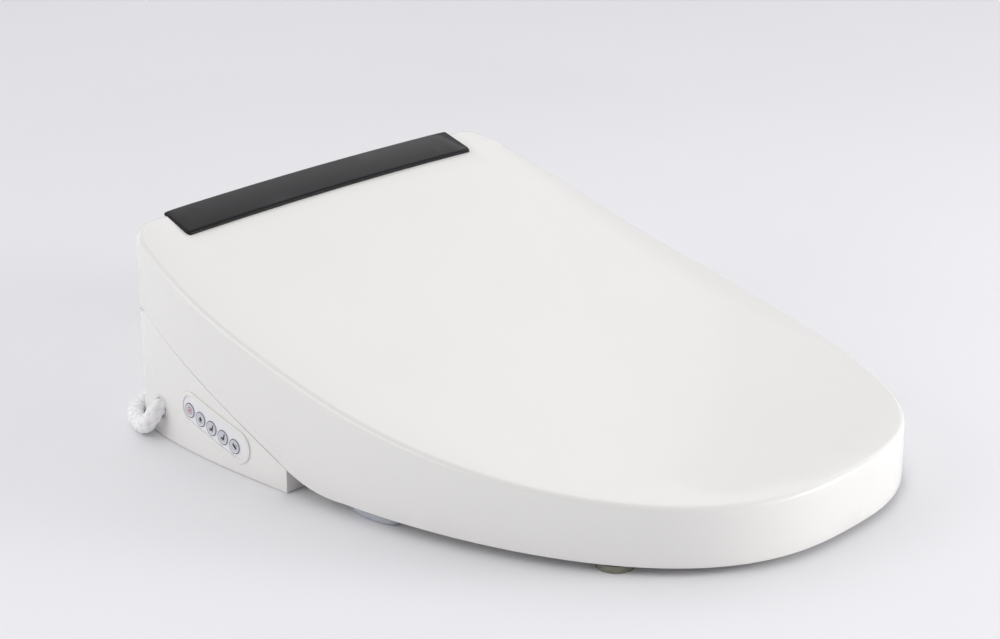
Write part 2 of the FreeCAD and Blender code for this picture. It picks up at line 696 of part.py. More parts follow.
def make_nozzles():
    for name, side in (("rear_wash", -1), ("front_wash", 1)):
        start = V(side * NOZZLE_X, NOZZLE_TIP, 0)
        body = cylinder(start, Y_AXIS, NOZZLE_R, NOZZLE_END - NOZZLE_TIP)
        rim = [e for e in body.Edges if e.BoundBox.YMax < NOZZLE_TIP + 0.1]
        body = body.makeFillet(3.5, rim)
        jets = [cylinder(V(side * NOZZLE_X, NOZZLE_TIP + 8 + 4 * k, 0), Z_AXIS, 0.8, 10)
                for k in range(2 if side < 0 else 3)]
        flat = box(side * NOZZLE_X - 4, side * NOZZLE_X + 4, 7, 22, 5.4, 8)
        body = fuse([body, rack(side)]).cut(flat)
        for jet in jets:
            body = body.cut(jet)
        save(f"nozzle_{name}", nozzle_place(body))

        pinion = gear_teeth_face(BACKLASH).extrude(V(0, 0, 3.2))
        turn = 0 if side > 0 else 180
        pinion.rotate(V(0, 0, 0), Z_AXIS, 180 + turn)
        pinion.translate(V(side * (PITCH_X + PINION_R), PINION_U, -1.6))
        axis_point = V(side * (PITCH_X + PINION_R), PINION_U, -4)
        shaft = cylinder(axis_point, Z_AXIS, 1.5, 5.6)
        pinion = fuse([pinion, shaft])
        save(f"pinion_{name}", nozzle_place(pinion))

        motor_start = V(side * (PITCH_X + PINION_R), PINION_U, -19)
        motor = cylinder(motor_start, Z_AXIS, 9.5, 13)
        boss = cylinder(motor_start + V(0, 0, 13), Z_AXIS, 4, 2)
        hole = cylinder(motor_start + V(0, 0, 12), Z_AXIS, 1.5 + RUNNING, 5)
        save(f"nozzle_motor_{name}", nozzle_place(fuse([motor, boss]).cut(hole)))


def make_nozzle_guide():
    block = box(-24, 24, 7.5, 31, -8.5, 8.5)
    shelf = box(-36, 36, 31, 54, -4, -2.6)
    rib = box(-24, 24, 28, 36, -8.5, -2.6)
    guide = fuse([block, rib, shelf])
    for side in (-1, 1):
        x = side * NOZZLE_X
        guide = guide.cut(cylinder(V(x, 0, 0), Y_AXIS, NOZZLE_R + RUNNING, 31))
        guide = guide.cut(cylinder(V(x, 31, 0), Y_AXIS, NOZZLE_R + 0.4, 60))
        slot = box(13, 40, 0, 31, -2.2, 2.2)
        guide = guide.cut(slot if side > 0 else mirror_x(slot))
        shaft = V(side * (PITCH_X + PINION_R), PINION_U, -10)
        guide = guide.cut(cylinder(shaft, Z_AXIS, 4.2, 9))
        guide = guide.cut(cylinder(V(shaft.x, PINION_U, -20), Z_AXIS, 9.8, 15.9))
    guide = nozzle_place(guide)
    foot = box(-24, 24, -72, -56, PAN_TOP, 19)
    clear = nozzle_place(box(-60, 60, -20, 140, -7, 60))
    save("nozzle_guide", fuse([guide, foot.cut(clear)]))


# ---- water circuit ----


def make_tank():
    x0, x1, y0, y1 = TANK_X0, TANK_X1, TANK_Y0, TANK_Y1
    t = TANK_WALL
    outer = box(x0, x1, y0, y1, TANK_Z0, TANK_Z1)
    outer = outer.makeFillet(8, [e for e in outer.Edges if e.BoundBox.ZLength > 20])
    inner = box(x0 + t, x1 - t, y0 + t, y1 - t, TANK_Z0 + t, TANK_Z1 + 5)
    inner = inner.makeFillet(5.5, [e for e in inner.Edges if e.BoundBox.ZLength > 20])
    body = outer.cut(inner)
    for y in (-12, 12):
        body = body.cut(cylinder(V(x1 - 10, y, 30), X_AXIS, 3.5, 20))
    neck = tube(V(-125, 0, PAN_TOP), Z_AXIS, 9, 6.5, TANK_Z0 - PAN_TOP + 1)
    body = fuse([body, neck]).cut(cylinder(V(-125, 0, 0), Z_AXIS, 6.5, 20))
    body = body.cut(cylinder(V(-130, y1 - 5, 20), Y_AXIS, 4, 10))
    body = body.cut(cylinder(V(-60, y1 - 5, 20), Y_AXIS, 4, 10))
    save("water_tank", body)

    gasket = outer.common(box(x0, x1, y0, y1, TANK_Z1 - 1.5, TANK_Z1))
    gasket = gasket.cut(inner)
    gasket.translate(V(0, 0, 1.5))
    save("tank_gasket", gasket)
    cover = outer.common(box(x0, x1, y0, y1, TANK_Z1 - 3, TANK_Z1))
    cover.translate(V(0, 0, 4.5))
    cover = cover.cut(cylinder(V(-95, 10, 80), Z_AXIS, 3, 20))
    cover = cover.cut(cylinder(V(-60, -20, 80), Z_AXIS, 3, 20))
    ribs = [box(x0 + 12, x1 - 12, y - 1, y + 1, TANK_Z1 + 4.5, TANK_Z1 + 7) for y in (-27, 24)]
    save("tank_lid", fuse([cover] + ribs))

    bend = Part.makeTorus(12, 3.5, V(-130, 0, 30), Z_AXIS, -180, 180, 360)
    bend = bend.common(box(-160, -130, -40, 40, 0, 60))
    legs = [cylinder(V(-130, y, 30), X_AXIS, 3.5, 94) for y in (-12, 12)]
    flange = cylinder(V(x1, 0, 30), X_AXIS, 17, 2.5)
    save("water_heater", fuse([bend] + legs + [flange]))
    stem = cylinder(V(-95, 10, 40), Z_AXIS, 3, TANK_Z1 + 8 - 40)
    collar = cylinder(V(-95, 10, 40), Z_AXIS, 4.5, 2)
    head = cylinder(V(-95, 10, TANK_Z1 + 4.5), Z_AXIS, 6, 4)
    save("float_stem", fuse([stem, collar, head]))
    save("level_float", tube(V(-95, 10, 42.1), Z_AXIS, 11, 3.08, 18))
    probe = cylinder(V(-60, -20, 50), Z_AXIS, 3, TANK_Z1 + 6 - 50)
    cap = cylinder(V(-60, -20, TANK_Z1 + 4.5), Z_AXIS, 5, 4)
    save("temperature_sensor", fuse([probe, cap]))
    plug = cylinder(V(-125, 0, FOOT_Z + 0.4), Z_AXIS, 6.4, TANK_Z0 - FOOT_Z)
    plug = plug.cut(box(-130, -120, -0.6, 0.6, FOOT_Z, FOOT_Z + 2.4))
    save("drain_plug", plug)


def swept_tube(points, outer, inner, bend_share=0.45):
    """A tube along straight runs joined by tangent arcs; prints the smallest radius."""
    edges, radii = [], []
    at = points[0]
    for before, here, after in zip(points, points[1:], points[2:]):
        a, b = (before - here), (after - here)
        shorter = min(a.Length, b.Length)
        a.normalize()
        b.normalize()
        half_turn = (pi - a.getAngle(b)) / 2
        reach = bend_share * shorter
        radius = reach / tan(half_turn)
        radii.append(radius)
        middle_way = (a + b)
        middle_way.normalize()
        start, end = here + a * reach, here + b * reach
        centre = here + middle_way * (radius / cos(half_turn))
        through = centre - middle_way * radius
        edges.append(line(at, start))
        edges.append(arc(start, through, end))
        at = end
    edges.append(line(at, points[-1]))
    path = Part.Wire(edges)
    first = points[1] - points[0]
    section = Part.Wire(Part.makeCircle(outer, points[0], first))
    shape = path.makePipeShell([section], True, False)
    if inner:
        bore = Part.Wire(Part.makeCircle(inner, points[0], first))
        shape = shape.cut(path.makePipeShell([bore], True, False))
    return shape, path.Length, radii


def make_water_parts():
    wall_tube = tube(V(-206.6, INLET_Y, INLET_Z), X_AXIS, 9.5, 7.6, 6.0)
    collar = tube(V(-206.0, INLET_Y, INLET_Z), X_AXIS, 11.5, 7.6, 5.6)
    collar = collar.common(outline_prism(WALL, -20, 90))
    inside = outline_prism(-0.6, -20, 90)
    save("hose_grommet", fuse([wall_tube, collar]).common(inside))
    stub = cylinder(V(FITTING_X, INLET_Y, INLET_Z), X_AXIS, 7, 12)
    hexagon = cylinder(V(FITTING_X + 2, INLET_Y, INLET_Z), X_AXIS, 9, 6)
    save("inlet_fitting", fuse([stub, hexagon]))
    body = box(-187, -158, 10, 42, 12, 38)
    coil = cylinder(V(-172, 26, 38), Z_AXIS, 11, 20)
    base = box(-185, -160, 13, 39, PAN_TOP, 12)
    base = base.cut(box(-190, -150, 17, 35, 0, 11))
    save("inlet_valve", fuse([body, coil, base]))
    feed, _, _ = swept_tube([V(-165, 42, 20), V(-165, 52, 20), V(-130, 52, 20), V(-130, TANK_Y1, 20)],
                            4, 2.5)
    save("tank_feed_tube", feed)
    outlet, _, _ = swept_tube([V(-60, TANK_Y1, 20), V(-60, 52, 20), V(-20, 52, 20)], 4, 2.5)
    save("wash_tube", outlet)
    valve = box(-20, 20, 44, 62, 9, 32)
    top = cylinder(V(0, 53, 32), Z_AXIS, 8.5, 14)
    spouts = [cylinder(V(x, 53, 32), Z_AXIS, 3, 7) for x in (-14, 14)]
    save("diverter_valve", fuse([valve, top] + spouts))


# ---- warm-air dryer ----


def make_dryer():
    centre = V(FAN_X0, FAN_Y, FAN_Z)
    drum = cylinder(centre, X_AXIS, FAN_R, FAN_X1 - FAN_X0)
    drum_in = cylinder(centre + V(1.6, 0, 0), X_AXIS, FAN_R - 1.6, FAN_X1 - FAN_X0 - 3.2)
    outer = [(FAN_Y, FAN_Z - FAN_R), (-42, 15), (-74, 8.4), (-74, 33.2), (-50, 37), (-24, FAN_Z)]
    inner = [(FAN_Y, FAN_Z - FAN_R + 1.6), (-42, 16.6), (-76, 10), (-76, 31.6), (-50, 35.4),
             (-22, FAN_Z - 1)]
    duct = prism_x(outer, FAN_X0, FAN_X1)
    duct_in = prism_x(inner, FAN_X0 + 1.6, FAN_X1 - 1.6)
    housing = fuse([drum, duct]).cut(drum_in).cut(duct_in)
    housing = housing.cut(cylinder(centre - V(1, 0, 0), X_AXIS, 15, 4))
    housing = housing.cut(cylinder(V(FAN_X1 - 3, FAN_Y, FAN_Z), X_AXIS, 3, 6))
    ears = [box(x, x + 1.4, FLAP_Y - 2.4, -73, FLAP_Z - 3, FLAP_Z + 2.2)
            for x in (FAN_X0, FAN_X1 - 1.4)]
    housing = fuse([housing] + ears)
    housing = housing.cut(cylinder(V(FAN_X0 - 2, FLAP_Y, FLAP_Z), X_AXIS, 1.05, 60))
    leg = box(FAN_X0 + 4, FAN_X1 - 4, -4, 8, TRAY_ROOF + WALL, FAN_Z - FAN_R + 1)
    leg = leg.cut(cylinder(centre, X_AXIS, FAN_R - 0.4, 60))
    save("fan_housing", fuse([housing, leg]))

    hub = tube(V(FAN_X0 + 5, FAN_Y, FAN_Z), X_AXIS, 6, 1.5, 18)
    plate = tube(V(FAN_X1 - 7, FAN_Y, FAN_Z), X_AXIS, 25, 1.5, 2)
    blades = []
    for k in range(16):
        blade = box(FAN_X0 + 5, FAN_X1 - 6, FAN_Y - 0.6, FAN_Y + 0.6, FAN_Z + 14, FAN_Z + 25)
        blade.rotate(V(0, FAN_Y, FAN_Z + 20), X_AXIS, 25)
        blade.rotate(V(0, FAN_Y, FAN_Z), X_AXIS, 360 * k / 16)
        blades.append(blade)
    ring = tube(V(FAN_X0 + 5, FAN_Y, FAN_Z), X_AXIS, 26, 24, 2)
    save("fan_impeller", fuse([hub, plate, ring] + blades))
    motor = cylinder(V(FAN_X1, FAN_Y, FAN_Z), X_AXIS, 15, 22)
    shaft = cylinder(V(FAN_X0 + 6, FAN_Y, FAN_Z), X_AXIS, 1.45, FAN_X1 - FAN_X0)
    save("fan_motor", fuse([motor, shaft]))

    frame = box(FAN_X0 + 1.8, FAN_X1 - 1.8, -64, -50, 15.3, 31.3)
    cells = []
    for i in range(4):
        for j in range(3):
            x, z = FAN_X0 + 3.2 + 5.6 * i, 16.5 + 4.9 * j
            cells.append(box(x, x + 4.4, -70, -40, z, z + 3.8))
    for cell in cells:
        frame = frame.cut(cell)
    save("air_heater", frame)

    x0, x1 = FAN_X0 + 1.7, FAN_X1 - 1.7
    leaf = box(x0, x1, FLAP_Y - 0.8, FLAP_Y + 0.8, 9.5, FLAP_Z)
    knuckle = cylinder(V(x0, FLAP_Y, FLAP_Z), X_AXIS, 1.8, x1 - x0)
    pins = cylinder(V(FAN_X0 + 0.2, FLAP_Y, FLAP_Z), X_AXIS, 1.0, FAN_X1 - FAN_X0 - 0.4)
    save("dryer_flap", fuse([leaf, knuckle, pins]))


# ---- electrics ----


def make_electrics():
    board = box(120, 121.6, -36, 36, 11, 82)
    pads = [box(121.6, 134, -30, -12, 18, 36), box(121.6, 128, -6, 10, 20, 30),
            cylinder(V(121.6, 22, 30), X_AXIS, 7, 16), cylinder(V(121.6, 22, 48), X_AXIS, 5, 14),
            box(121.6, 130, -28, -10, 50, 66)]
    stand = [box(116, 125, y, y + 6, PAN_TOP, 11) for y in (-30, 24)]
    save("main_board", fuse([board] + pads + stand))
    core = box(138, 156, -20, 14, PAN_TOP, 40)
    winding = box(135.5, 157.5, -14, 8, 9, 34)
    save("power_transformer", fuse([core, winding]))
    lens = box(-46, 46, 2, 24, 103, 104.6)
    leds = [cylinder(V(x, 13, 104.6), Z_AXIS, 2.5, 4) for x in (-30, -18, -6, 6)]
    eye = cylinder(V(30, 13, 104.6), Z_AXIS, 4, 6)
    save("display_board", fuse([lens, eye] + leds))
    gland_y = REAR_Y - WALL
    flange = tube(V(140, REAR_Y, 30), Y_AXIS, 11, 4.2, 2)
    neck = tube(V(140, gland_y - 6, 30), Y_AXIS, 8, 4.2, WALL + 6)
    save("power_cord_gland", fuse([flange, neck]))


# ---- free water hose ----


def make_hose():
    hose, length, radii = swept_tube(HOSE_ROUTE, HOSE_R, 0)
    save("inlet_hose", hose)
    print("hose radii", [round(r, 1) for r in radii], "length", round(length, 1))
    print("hose volume against section times length", hose.Volume / (pi * HOSE_R**2 * length))

    # the coil: a turn and a half, the second on the first, then down to the nut behind it
    low, high = 7.0, 7.0 + 2 * HOSE_R + 0.4
    ring = tube(V(COIL_X, COIL_Y, 0.2), Z_AXIS, COIL_R + 7, COIL_R - 7, high + 6.8)
    lead_in = cylinder(V(COIL_X - COIL_LEAD, COIL_Y - COIL_R, low), X_AXIS, HOSE_R, COIL_LEAD)
    back = COIL_Y + COIL_R
    tail = [V(COIL_X, back, high), V(COIL_X - 26, back, high), V(COIL_X - 58, back, NUT_R),
            V(COIL_X - 84, back, NUT_R)]
    lead_out, tail_length, _ = swept_tube(tail, HOSE_R, 0)
    save("inlet_hose_coil", fuse([ring, lead_in, lead_out]))
    turns = COIL_TURNS * hypot(2 * pi * COIL_R, (high - low) / COIL_TURNS)
    print("hose length with its coil", round(length + turns + COIL_LEAD + tail_length, 1))

    start = tail[-1]
    corners = [start + V(0, NUT_R * cos(pi * (k + 0.5) / 3), NUT_R * sin(pi * (k + 0.5) / 3))
               for k in range(6)]
    nut = Part.Face(Part.makePolygon(corners + corners[:1])).extrude(V(-13, 0, 0))
    sleeve = cylinder(start - V(13, 0, 0), -X_AXIS, UNION_R + 1.5, 5)
    socket = cylinder(start - V(4, 0, 0), -X_AXIS, UNION_R, 30)
    save("hose_nut", fuse([nut, sleeve]).cut(socket))


HOSE_ROUTE = [
    V(FITTING_X, INLET_Y, INLET_Z), V(-213, INLET_Y, INLET_Z), V(-221.5, 30.5, 15.5),
    V(-220.5, 42.5, 8), V(-212, 54, 7), V(-200, 67, 7), V(-183, 78.5, 7), V(-159, 86, 7),
    V(-128, 90.5, 7), V(-92, 96, 7), V(-56, 99, 7), V(-14, COIL_Y - COIL_R, 7),
    V(COIL_X - COIL_LEAD, COIL_Y - COIL_R, 7),
]


def main():
    os.makedirs("parts", exist_ok=True)
    make_lid()
    make_lid_bumpers()
    make_seat()
    make_seat_bumpers()
    make_dampers()
    make_base()
    make_feet()
    make_mounting_plate()
    make_controls()
    make_nozzles()
    make_nozzle_guide()
    make_tank()
    make_water_parts()
    make_dryer()
    make_electrics()
    make_hose()


main()
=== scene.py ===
import math

import bmesh
import bpy
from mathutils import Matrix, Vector, noise


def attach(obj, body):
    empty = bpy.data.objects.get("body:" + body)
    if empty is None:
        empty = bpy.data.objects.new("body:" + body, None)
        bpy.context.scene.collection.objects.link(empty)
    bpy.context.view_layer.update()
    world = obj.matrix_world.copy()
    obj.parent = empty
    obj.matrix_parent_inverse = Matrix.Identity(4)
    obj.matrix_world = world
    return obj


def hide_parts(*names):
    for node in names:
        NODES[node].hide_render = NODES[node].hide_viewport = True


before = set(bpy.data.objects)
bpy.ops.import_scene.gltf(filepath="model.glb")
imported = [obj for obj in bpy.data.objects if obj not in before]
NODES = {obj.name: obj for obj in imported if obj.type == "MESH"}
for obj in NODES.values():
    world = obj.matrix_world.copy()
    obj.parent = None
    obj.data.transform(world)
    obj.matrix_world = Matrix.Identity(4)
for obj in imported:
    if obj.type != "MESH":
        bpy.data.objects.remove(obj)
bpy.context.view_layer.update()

MM = 0.001
scene = bpy.context.scene

# ---------------------------------------------------------------- camera
VIEW_PLACE = (-1.26797, -1.28551, 0.70109)
VIEW_DOWN, VIEW_TURN = 19.956, -47.909  # degrees below level, and from +Y
cam_data = bpy.data.cameras.new("camera")
cam_data.lens = 84.22
cam_data.sensor_width = 36.0
cam_data.clip_start = 0.05
cam_data.clip_end = 60.0
camera = bpy.data.objects.new("camera", cam_data)
camera.location = VIEW_PLACE
camera.rotation_euler = (math.radians(90 - VIEW_DOWN), 0.0, math.radians(VIEW_TURN))
scene.collection.objects.link(camera)
scene.camera = camera


# ---------------------------------------------------------------- node helpers
class Tree:
    """A material's node tree with short ways to add nodes and links."""

    def __init__(self, name):
        self.mat = bpy.data.materials.new(name)
        self.mat.use_nodes = True
        self.tree = self.mat.node_tree
        self.shader = self.tree.nodes["Principled BSDF"]
        coords = self.tree.nodes.new("ShaderNodeTexCoord")
        self.place = coords.outputs["Object"]

    def add(self, kind, inputs=None, **settings):
        node = self.tree.nodes.new(kind)
        for key, value in settings.items():
            setattr(node, key, value)
        for key, value in (inputs or {}).items():
            if isinstance(value, bpy.types.NodeSocket):
                self.tree.links.new(value, node.inputs[key])
            else:
                node.inputs[key].default_value = value
        return node

    def noise(self, scale, detail=3.0, rough=0.55, place=None):
        inputs = {"Vector": place or self.place, "Scale": scale, "Detail": detail, "Roughness": rough}
        return self.add("ShaderNodeTexNoise", inputs).outputs["Fac"]

    def remap(self, value, low, high, start=0.3, end=0.7):
        inputs = {"Value": value, "From Min": start, "From Max": end, "To Min": low, "To Max": high}
        return self.add("ShaderNodeMapRange", inputs).outputs["Result"]

    def mix(self, fac, a, b):
        node = self.tree.nodes.new("ShaderNodeMix")
        node.data_type = "RGBA"
        for socket, value in ((node.inputs[0], fac), (node.inputs[6], a), (node.inputs[7], b)):
            if isinstance(value, bpy.types.NodeSocket):
                self.tree.links.new(value, socket)
            elif isinstance(value, (int, float)):
                socket.default_value = value
            else:
                socket.default_value = (*value, 1.0)
        return node.outputs[2]

    def math(self, kind, a, b=None):
        node = self.tree.nodes.new("ShaderNodeMath")
        node.operation = kind
        for socket, value in zip(node.inputs, (a, b)):
            if isinstance(value, bpy.types.NodeSocket):
                self.tree.links.new(value, socket)
            elif value is not None:
                socket.default_value = value
        return node.outputs[0]

    def bump(self, height, strength, distance, under=None):
        inputs = {"Height": height, "Strength": strength, "Distance": distance}
        if under is not None:
            inputs["Normal"] = under
        return self.add("ShaderNodeBump", inputs).outputs["Normal"]

    def set(self, **values):
        for key, value in values.items():
            socket = self.shader.inputs[key.replace("_", " ")]
            if isinstance(value, bpy.types.NodeSocket):
                self.tree.links.new(value, socket)
            else:
                socket.default_value = value


def rgb(r, g, b):
    """Linear colour from 0-255 screen values."""
    return tuple(((c / 255 + 0.055) / 1.055) ** 2.4 if c > 10 else c / 255 / 12.92 for c in (r, g, b))


def moulded(name, colour, shade, rough, peel, grain=0.0, coat=0.0, scuff=0.0, under=0.0):
    """Injection-moulded plastic: faint flow clouds, orange peel, and fine grain where it is textured."""
    t = Tree(name)
    cloud = t.noise(5.0, 2.0)
    fleck = t.noise(2400.0, 1.0)
    base = t.mix(t.remap(cloud, 0.0, 1.0, 0.2, 0.8), colour, shade)
    base = t.mix(t.remap(fleck, 0.0, 0.35, 0.5, 0.8), base, shade)
    wear = t.noise(22.0, 3.0, 0.5)
    smooth = t.remap(wear, rough[0], rough[1], 0.2, 0.8)
    if scuff:
        stretch = t.add("ShaderNodeMapping", {"Vector": t.place, "Scale": (1.0, 14.0, 14.0)})
        lines = t.noise(90.0, 5.0, 0.8, stretch.outputs["Vector"])
        smooth = t.math("ADD", smooth, t.remap(lines, 0.0, scuff, 0.58, 0.72))
    normal = t.bump(t.noise(260.0, 1.0), peel, 0.0002)
    if grain:
        normal = t.bump(t.noise(1800.0, 2.0, 0.7), grain, 0.0002, normal)
    t.set(Base_Color=base, Roughness=smooth, Normal=normal)
    t.set(Coat_Weight=coat, Coat_Roughness=0.06, Specular_IOR_Level=0.5, IOR=1.5)
    if under:
        t.set(Subsurface_Weight=under, Subsurface_Scale=0.002)
    return t.mat


def metal(name, colour, shade, brush):
    """Turned or plated metal: brushed streaks and a slight tarnish."""
    t = Tree(name)
    stretch = t.add("ShaderNodeMapping", {"Vector": t.place, "Scale": brush})
    streak = t.noise(900.0, 4.0, 0.75, stretch.outputs["Vector"])
    stain = t.noise(120.0, 5.0, 0.65)
    t.set(Base_Color=t.mix(t.remap(stain, 0.0, 1.0, 0.35, 0.75), colour, shade))
    t.set(Roughness=t.remap(streak, 0.22, 0.38), Metallic=1.0)
    t.set(Normal=t.bump(streak, 0.12, 0.00015))
    return t.mat


def rubber(name, colour, shade, rough=(0.55, 0.75)):
    """Moulded elastomer: dusty bloom and a soft pitted skin."""
    t = Tree(name)
    dust = t.noise(160.0, 6.0, 0.7)
    t.set(Base_Color=t.mix(t.remap(dust, 0.0, 1.0, 0.42, 0.72), colour, shade))
    t.set(Roughness=t.remap(t.noise(70.0, 3.0), rough[0], rough[1]))
    t.set(Normal=t.bump(t.noise(1500.0, 3.0, 0.7), 0.25, 0.0002), Specular_IOR_Level=0.4)
    return t.mat


def board_finish(name):
    """Circuit board: green solder mask with copper tracks under it and a fine glass weave."""
    t = Tree(name)
    grid = t.add("ShaderNodeTexBrick", {"Vector": t.place, "Scale": 160.0, "Mortar Size": 0.06})
    weave = t.noise(2600.0, 1.0)
    tint = t.mix(t.remap(t.noise(30.0), 0.0, 1.0), rgb(22, 84, 52), rgb(14, 62, 42))
    tracks = t.mix(grid.outputs["Fac"], tint, rgb(58, 122, 74))
    t.set(Base_Color=tracks, Roughness=t.remap(weave, 0.3, 0.45), Normal=t.bump(weave, 0.2, 0.0001))
    t.set(Coat_Weight=0.4, Coat_Roughness=0.12)
    return t.mat


def clear_finish(name, tint, deep, rough, through):
    """Translucent moulding or tube: cloudy inside, smooth outside."""
    t = Tree(name)
    cloud = t.noise(60.0, 5.0, 0.65)
    t.set(Base_Color=t.mix(t.remap(cloud, 0.0, 1.0), tint, deep))
    t.set(Roughness=t.remap(t.noise(240.0, 3.0), rough[0], rough[1]))
    t.set(Normal=t.bump(t.noise(140.0, 1.0), 0.05, 0.0002))
    t.set(Transmission_Weight=through, IOR=1.43, Subsurface_Weight=0.15, Subsurface_Scale=0.003)
    return t.mat


def foil_finish(name):
    """Heater foil: bright aluminium, crinkled, with the raised line of the heating cord."""
    t = Tree(name)
    crease = t.add("ShaderNodeTexVoronoi", {"Vector": t.place, "Scale": 75.0}, feature="DISTANCE_TO_EDGE")
    ripple = t.noise(210.0, 5.0, 0.6)
    height = t.math("ADD", crease.outputs["Distance"], ripple)
    t.set(Base_Color=t.mix(t.remap(ripple, 0.0, 1.0), rgb(206, 207, 210), rgb(170, 172, 178)))
    t.set(Roughness=t.remap(t.noise(36.0), 0.2, 0.42), Metallic=1.0)
    t.set(Normal=t.bump(height, 0.35, 0.0006))
    return t.mat


def core_finish(name):
    """Laminated steel core with its varnish."""
    t = Tree(name)
    inputs = {"Vector": t.place, "Scale": 420.0, "Distortion": 0.4}
    plates = t.add("ShaderNodeTexWave", inputs, bands_direction="X")
    stain = t.noise(80.0, 5.0)
    tint = t.mix(t.remap(stain, 0.0, 1.0), rgb(92, 72, 52), rgb(60, 58, 60))
    t.set(Base_Color=t.mix(plates.outputs["Fac"], tint, rgb(120, 112, 100)), Metallic=0.7)
    t.set(Roughness=t.remap(stain, 0.35, 0.6), Normal=t.bump(plates.outputs["Fac"], 0.3, 0.0002))
    return t.mat


def smoked(name):
    """Smoked acrylic: nearly black in the body, polished on top, with faint dust."""
    t = Tree(name)
    haze = t.noise(9.0, 2.0, 0.5)
    dust = t.noise(3200.0, 1.0)
    base = t.mix(t.remap(haze, 0.0, 1.0), rgb(31, 29, 31), rgb(36, 34, 36))
    base = t.mix(t.remap(dust, 0.0, 0.3, 0.7, 0.82), base, rgb(96, 94, 96))
    t.set(Base_Color=base, Roughness=t.remap(haze, 0.1, 0.14))
    t.set(Normal=t.bump(dust, 0.03, 0.00004), Specular_IOR_Level=0.2)
    return t.mat


def film(name):
    """Printed polyester film on the panel: a cool white with a fine velvet grain."""
    t = Tree(name)
    grain = t.noise(5200.0, 2.0, 0.6)
    tint = t.mix(t.remap(t.noise(60.0), 0.0, 1.0), rgb(237, 237, 239), rgb(232, 233, 236))
    t.set(Base_Color=t.mix(t.remap(grain, 0.0, 0.4), tint, rgb(241, 241, 243)))
    t.set(Roughness=t.remap(grain, 0.34, 0.5), Normal=t.bump(grain, 0.12, 0.00008))
    return t.mat


def woven(name):
    """Braided polyester sleeve of the hose: off-white strands with lint and soft sheen, and painted shade in
    the grooves between the strands.
    """
    t = Tree(name)
    along = t.tree.nodes.new("ShaderNodeUVMap")
    inputs = {"Vector": along.outputs["UV"], "Scale": 30.0, "Distortion": 1.2, "Detail": 2.0}
    strand = t.add("ShaderNodeTexWave", inputs, bands_direction="DIAGONAL")
    lint = t.noise(700.0, 6.0, 0.75)
    soil = t.noise(38.0, 4.0)
    base = t.mix(t.remap(soil, 0.0, 1.0), rgb(252, 251, 251), rgb(247, 247, 248))
    base = t.mix(t.remap(lint, 0.0, 0.3, 0.5, 0.8), base, rgb(222, 222, 226))
    # painted shade: the colour is darkened where the braid lies low, in the grooves between the strands
    depth = t.add("ShaderNodeAttribute", attribute_name="raised").outputs["Fac"]
    base = t.mix(t.remap(depth, 0.75, 0.0, 0.1, 0.75), base, rgb(205, 204, 209))
    fibre = t.math("ADD", strand.outputs["Fac"], lint)
    t.set(Base_Color=base, Roughness=t.remap(lint, 0.6, 0.85), Normal=t.bump(fibre, 0.35, 0.00025))
    t.set(Sheen_Weight=0.35, Sheen_Roughness=0.4, Subsurface_Weight=0.1, Subsurface_Scale=0.002)
    return t.mat


WHITE, WHITE_DIM = rgb(238, 237, 234), rgb(235, 234, 231)
FINISH = {
    "gloss_white": moulded("gloss_white", WHITE, WHITE_DIM, (0.22, 0.27), 0.03, coat=0.25, scuff=0.015),
    "satin_white": moulded("satin_white", rgb(238, 237, 233), rgb(234, 233, 229), (0.34, 0.42), 0.05, 0.1),
    "smoked_black": smoked("smoked_black"),
    "panel_film": film("panel_film"),
    "button_grey": moulded("button_grey", rgb(206, 206, 213), rgb(199, 200, 208), (0.34, 0.44), 0.04, 0.1),
    "circuit_board": board_finish("circuit_board"),
    "blue_bumper": clear_finish("blue_bumper", rgb(226, 229, 236), rgb(212, 218, 229), (0.16, 0.24), 0.35),
    "grey_rubber": rubber("grey_rubber", rgb(128, 127, 116), rgb(104, 103, 93)),
    "steel": metal("steel", rgb(190, 191, 193), rgb(150, 150, 152), brush=(1.0, 12.0, 1.0)),
    "heater_foil": foil_finish("heater_foil"),
    "black_plastic": moulded("black_plastic", rgb(32, 32, 34), rgb(24, 24, 26), (0.4, 0.55), 0.06, 0.2),
    "nozzle_plastic": moulded("nozzle_plastic", rgb(226, 230, 234), rgb(214, 219, 225), (0.12, 0.22), 0.02,
                              coat=0.3, under=0.12),
    "acetal": moulded("acetal", rgb(238, 236, 226), rgb(228, 225, 212), (0.28, 0.4), 0.04, 0.08, under=0.15),
    "tank_plastic": clear_finish("tank_plastic", rgb(226, 232, 230), rgb(204, 214, 214), (0.22, 0.4), 0.35),
    "brass_fitting": metal("brass_fitting", rgb(214, 186, 122), rgb(176, 142, 82), brush=(9.0, 1.0, 1.0)),
    "valve_blue": moulded("valve_blue", rgb(60, 104, 160), rgb(48, 88, 140), (0.3, 0.42), 0.05, 0.12),
    "tube_silicone": clear_finish("tube_silicone", rgb(236, 236, 232), rgb(214, 216, 212), (0.3, 0.45), 0.3),
    "transformer_core": core_finish("transformer_core"),
    "hose_white": woven("hose_white"),
    "nut_plastic": moulded("nut_plastic", rgb(231, 231, 229), rgb(214, 215, 214), (0.3, 0.42), 0.05, 0.15),
}
INK_DARK = moulded("ink_dark", rgb(104, 106, 116), rgb(90, 92, 103), (0.4, 0.55), 0.03, 0.1)
INK_BLACK = moulded("ink_black", rgb(42, 42, 50), rgb(30, 30, 36), (0.4, 0.55), 0.03, 0.1)
INK_RED = moulded("ink_red", rgb(190, 84, 92), rgb(172, 66, 76), (0.4, 0.55), 0.03, 0.1)
INK_PALE = moulded("ink_pale", rgb(170, 178, 196), rgb(156, 165, 186), (0.4, 0.55), 0.03, 0.1)
CAP_LIGHT = moulded("cap_light", rgb(229, 229, 234), rgb(220, 221, 228), (0.26, 0.36), 0.03, 0.08)
PALE_RUBBER = rubber("pale_rubber", rgb(226, 226, 225), rgb(208, 208, 208), (0.45, 0.6))

